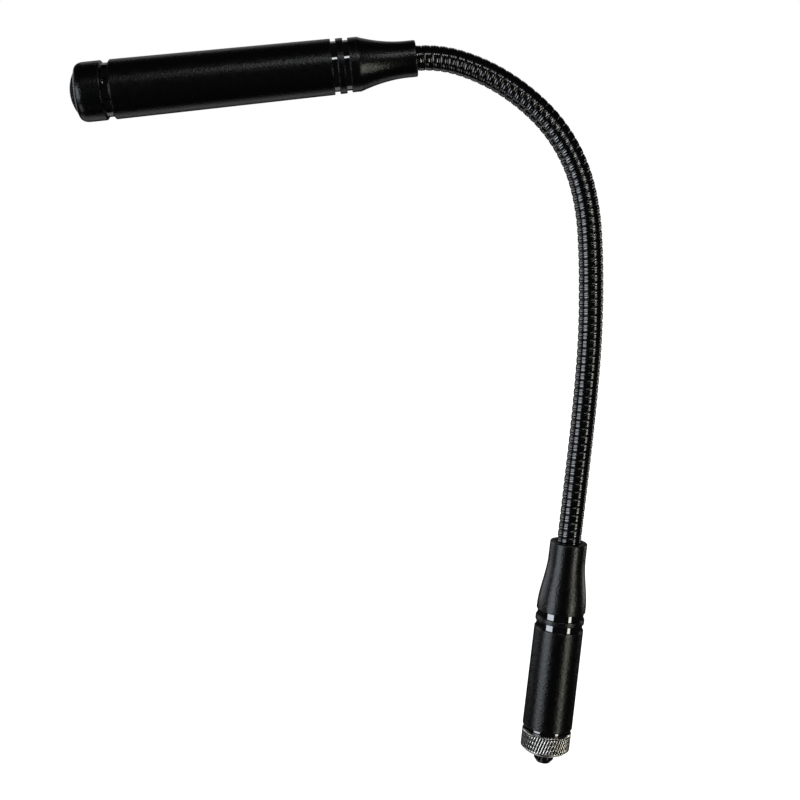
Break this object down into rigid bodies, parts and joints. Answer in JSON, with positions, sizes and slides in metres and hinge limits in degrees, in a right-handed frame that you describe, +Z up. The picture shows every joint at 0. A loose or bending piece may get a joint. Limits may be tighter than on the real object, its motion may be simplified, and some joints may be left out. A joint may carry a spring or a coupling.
{
  "type": "gooseneck podium microphone",
  "caption": "Slim podium microphone: a long tapered head with a domed grille on a bendable gooseneck, over a short base tube with a screw-on knurled plug.",
  "frame": {"origin": "centre of the plug nose's end face, on the base tube's axis", "axes": "+Z up the base tube, the neck bends towards -X in the XZ plane, Y is across it"},
  "size_m": [0.1827, 0.0188, 0.2339],
  "materials": {
    "satin": "satin black paint over a fine blasted surface",
    "gloss": "gloss black",
    "coil": "black glossy coil wire",
    "knurl": "bright nickel, diagonal knurl with dark gaps",
    "nickel": "bright nickel",
    "brass": "gold flash",
    "plastic": "black moulded",
    "grille": "black woven wire",
    "foam": "open cell foam",
    "rubber": "matte black",
    "cable": "matte black sheath",
    "board": "green solder mask",
    "capacitor": "dark blue dipped film",
    "can": "sleeved can",
    "ferrule": "dark plated",
    "lead_red": "coloured sheath",
    "lead_white": "coloured sheath"
  },
  "bodies": {
    "base": {"base_boot": "satin", "base_ferrule": "ferrule", "base_coupler": "gloss", "base_trim_band": "satin", "base_tube": "satin", "base_cable": "cable", "plug_shell": "gloss", "ring_clip": "nickel", "plug_insulator": "plastic", "plug_contact_1": "brass", "plug_contact_2": "brass", "plug_contact_3": "brass", "neck_segment_01": "coil", "neck_cable_01": "cable"},
    "ring": {"coupling_ring": "knurl"},
    "neck_02": {"neck_segment_02": "coil", "neck_cable_02": "cable"},
    "neck_03": {"neck_segment_03": "coil", "neck_cable_03": "cable"},
    "neck_04": {"neck_segment_04": "coil", "neck_cable_04": "cable"},
    "neck_05": {"neck_segment_05": "coil", "neck_cable_05": "cable"},
    "neck_06": {"neck_segment_06": "coil", "neck_cable_06": "cable"},
    "neck_07": {"neck_segment_07": "coil", "neck_cable_07": "cable"},
    "neck_08": {"neck_segment_08": "coil", "neck_cable_08": "cable"},
    "neck_09": {"neck_segment_09": "coil", "neck_cable_09": "cable"},
    "neck_10": {"neck_segment_10": "coil", "neck_cable_10": "cable"},
    "neck_11": {"neck_segment_11": "coil", "neck_cable_11": "cable"},
    "neck_12": {"neck_segment_12": "coil", "neck_cable_12": "cable"},
    "head": {"head_boot": "satin", "head_ferrule": "ferrule", "head_coupler": "gloss", "head_trim_band": "satin", "head_tube": "satin", "front_ring": "satin", "front_grille": "grille", "capsule_carrier": "gloss", "capsule": "nickel", "capsule_boot": "rubber", "foam_disc": "foam", "preamp_board": "board", "board_transistor": "plastic", "coupling_capacitor": "capacitor", "filter_capacitor": "can", "capsule_lead_1": "lead_red", "capsule_lead_2": "lead_white", "head_cable": "cable", "neck_segment_13": "coil", "neck_cable_13": "cable"}
  },
  "joints": [
    {"name": "ring_spin", "type": "hinge", "parent": "base", "child": "ring", "pos_m": [0, 0, 0.0081], "axis": [0, 0, 1], "continuous": true},
    {"name": "neck_bend_1", "type": "hinge", "parent": "base", "child": "neck_02", "pos_m": [0, 0, 0.09134], "axis": [0, -1, 0], "range_deg": [-20, 20]},
    {"name": "neck_bend_2", "type": "hinge", "parent": "neck_02", "child": "neck_03", "pos_m": [0, 0, 0.10598], "axis": [0, -1, 0], "range_deg": [-20.5, 19.5]},
    {"name": "neck_sway_1", "type": "hinge", "parent": "neck_03", "child": "neck_04", "pos_m": [-0.00013, 0, 0.12062], "axis": [0.9998, 0, 0.0175], "range_deg": [-20, 20]},
    {"name": "neck_bend_3", "type": "hinge", "parent": "neck_04", "child": "neck_05", "pos_m": [-0.00051, 0, 0.13525], "axis": [0, -1, 0], "range_deg": [-22, 18]},
    {"name": "neck_bend_4", "type": "hinge", "parent": "neck_05", "child": "neck_06", "pos_m": [-0.0014, 0, 0.14986], "axis": [0, -1, 0], "range_deg": [-22.5, 17.5]},
    {"name": "neck_bend_5", "type": "hinge", "parent": "neck_06", "child": "neck_07", "pos_m": [-0.00294, 0, 0.16442], "axis": [0, -1, 0], "range_deg": [-22.5, 17.5]},
    {"name": "neck_sway_2", "type": "hinge", "parent": "neck_07", "child": "neck_08", "pos_m": [-0.0051, 0, 0.1789], "axis": [0.9848, 0, 0.1736], "range_deg": [-20, 20]},
    {"name": "neck_bend_6", "type": "hinge", "parent": "neck_08", "child": "neck_09", "pos_m": [-0.00894, 0, 0.19301], "axis": [0, -1, 0], "range_deg": [-33.25, 6.75]},
    {"name": "neck_bend_7", "type": "hinge", "parent": "neck_09", "child": "neck_10", "pos_m": [-0.01591, 0, 0.20583], "axis": [0, -1, 0], "range_deg": [-36, 4]},
    {"name": "neck_bend_8", "type": "hinge", "parent": "neck_10", "child": "neck_11", "pos_m": [-0.02613, 0, 0.21624], "axis": [0, -1, 0], "range_deg": [-34.25, 5.75]},
    {"name": "neck_sway_3", "type": "hinge", "parent": "neck_11", "child": "neck_12", "pos_m": [-0.03863, 0, 0.22382], "axis": [0.4226, 0, 0.9063], "range_deg": [-20, 20]},
    {"name": "neck_bend_9", "type": "hinge", "parent": "neck_12", "child": "head", "pos_m": [-0.05251, 0, 0.22833], "axis": [0, -1, 0], "range_deg": [-38.25, 1.75]}
  ]
}
